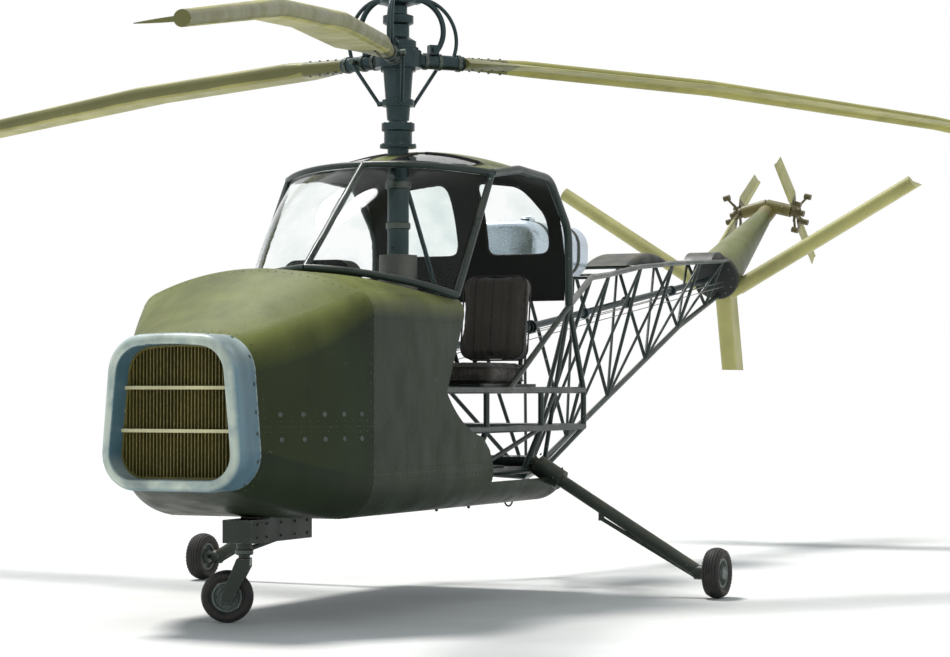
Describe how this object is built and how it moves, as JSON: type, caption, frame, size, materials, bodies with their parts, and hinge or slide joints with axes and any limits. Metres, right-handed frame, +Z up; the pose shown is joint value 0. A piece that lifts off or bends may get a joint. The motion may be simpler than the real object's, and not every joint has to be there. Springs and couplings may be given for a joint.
{
  "type": "light two-seat helicopter",
  "caption": "Light helicopter with a nose engine, open tube rear frame, three-bladed main rotor and canted twin tail rotors on a splayed tail.",
  "frame": {"origin": "middle of the jack pad's face under the belly, on the main rotor mast's axis; the ground is 0.42 m below", "axes": "+X to the port side, -Y to the nose, +Z up"},
  "size_m": [7.3543, 10.4041, 2.86],
  "materials": {
    "intake_ring": "worn pale blue-grey paint",
    "grille": "olive and brass paint",
    "grille_bars": "cream paint",
    "skin": "semi-matt olive drab paint",
    "engine": "cast and painted dark grey",
    "dark_metal": "matt dark green-black paint",
    "frame": "dark green paint on steel tube",
    "glazing": "clear acrylic sheet",
    "seat_cover": "dark canvas over padding",
    "panel": "crackle black",
    "mast": "dark blue-grey, oily at the joints",
    "blade": "yellow-olive paint, darker at the edges",
    "tank": "bare aluminium with a blue tint",
    "gear": "dark green paint, worn",
    "tyre": "black rubber",
    "rim": "grey-green paint"
  },
  "bodies": {
    "airframe": {"belly_skin": "skin", "body_frame": "frame", "cabin_floor": "dark_metal", "cabin_frame": "frame", "deck_panel": "skin", "engine_block": "engine", "fin_port": "blade", "fin_starboard": "blade", "firewall": "dark_metal", "flight_controls": "dark_metal", "fuel_tank": "tank", "grille_bars": "grille_bars", "grille_fins": "grille", "instrument_panel": "panel", "intake_ring": "intake_ring", "main_gearbox": "engine", "main_leg_port": "gear", "main_leg_starboard": "gear", "mast_housing": "mast", "nose_cowl_lower": "skin", "nose_cowl_upper": "skin", "nose_leg": "gear", "rear_canopy": "skin", "roof_panel": "skin", "roof_windows": "glazing", "seat_back_port": "seat_cover", "seat_back_starboard": "seat_cover", "seat_cushion_port": "seat_cover", "seat_cushion_starboard": "seat_cover", "seat_pans": "dark_metal", "shaft_covers": "dark_metal", "side_panel_port": "skin", "side_panel_starboard": "skin", "tail_boom": "frame", "tail_bulkhead": "dark_metal", "tail_cone": "skin", "tail_drive_shaft": "mast", "tail_gearbox": "engine", "ventral_fin": "blade", "windscreen_glass": "glazing"},
    "main_rotor": {"rotor_hub": "mast", "rotor_head": "mast", "blade_grips": "mast", "main_blades": "blade", "pitch_links": "mast"},
    "tail_rotor_port": {"tail_rotor_port": "blade"},
    "tail_rotor_starboard": {"tail_rotor_starboard": "blade"},
    "nose_caster": {"nose_fork": "gear"},
    "nose_wheel": {"nose_tyre": "tyre", "nose_rim": "rim"},
    "main_wheel_port": {"main_tyre_port": "tyre", "main_rim_port": "rim"},
    "main_wheel_starboard": {"main_tyre_starboard": "tyre", "main_rim_starboard": "rim"}
  },
  "joints": [
    {"name": "main_rotor_spin", "type": "hinge", "parent": "airframe", "child": "main_rotor", "pos_m": [0, 0, 1.75], "axis": [0, 0, 1], "continuous": true},
    {"name": "tail_rotor_port_spin", "type": "hinge", "parent": "airframe", "child": "tail_rotor_port", "pos_m": [0.2, 5.55, 1.735], "axis": [0.9703, 0, -0.2419], "continuous": true},
    {"name": "tail_rotor_starboard_spin", "type": "hinge", "parent": "airframe", "child": "tail_rotor_starboard", "pos_m": [-0.2, 5.55, 1.735], "axis": [-0.9703, 0, -0.2419], "continuous": true},
    {"name": "nose_swivel", "type": "hinge", "parent": "airframe", "child": "nose_caster", "pos_m": [0, -1.43, -0.15], "axis": [0, 0, 1], "continuous": true},
    {"name": "nose_wheel_spin", "type": "hinge", "parent": "nose_caster", "child": "nose_wheel", "pos_m": [-0.06344, -1.45958, -0.31], "axis": [0.4226, -0.9063, 0], "continuous": true},
    {"name": "main_wheel_port_spin", "type": "hinge", "parent": "airframe", "child": "main_wheel_port", "pos_m": [1.385, 0.545, -0.302], "axis": [1, 0, 0], "continuous": true},
    {"name": "main_wheel_starboard_spin", "type": "hinge", "parent": "airframe", "child": "main_wheel_starboard", "pos_m": [-1.385, 0.545, -0.302], "axis": [1, 0, 0], "continuous": true}
  ]
}
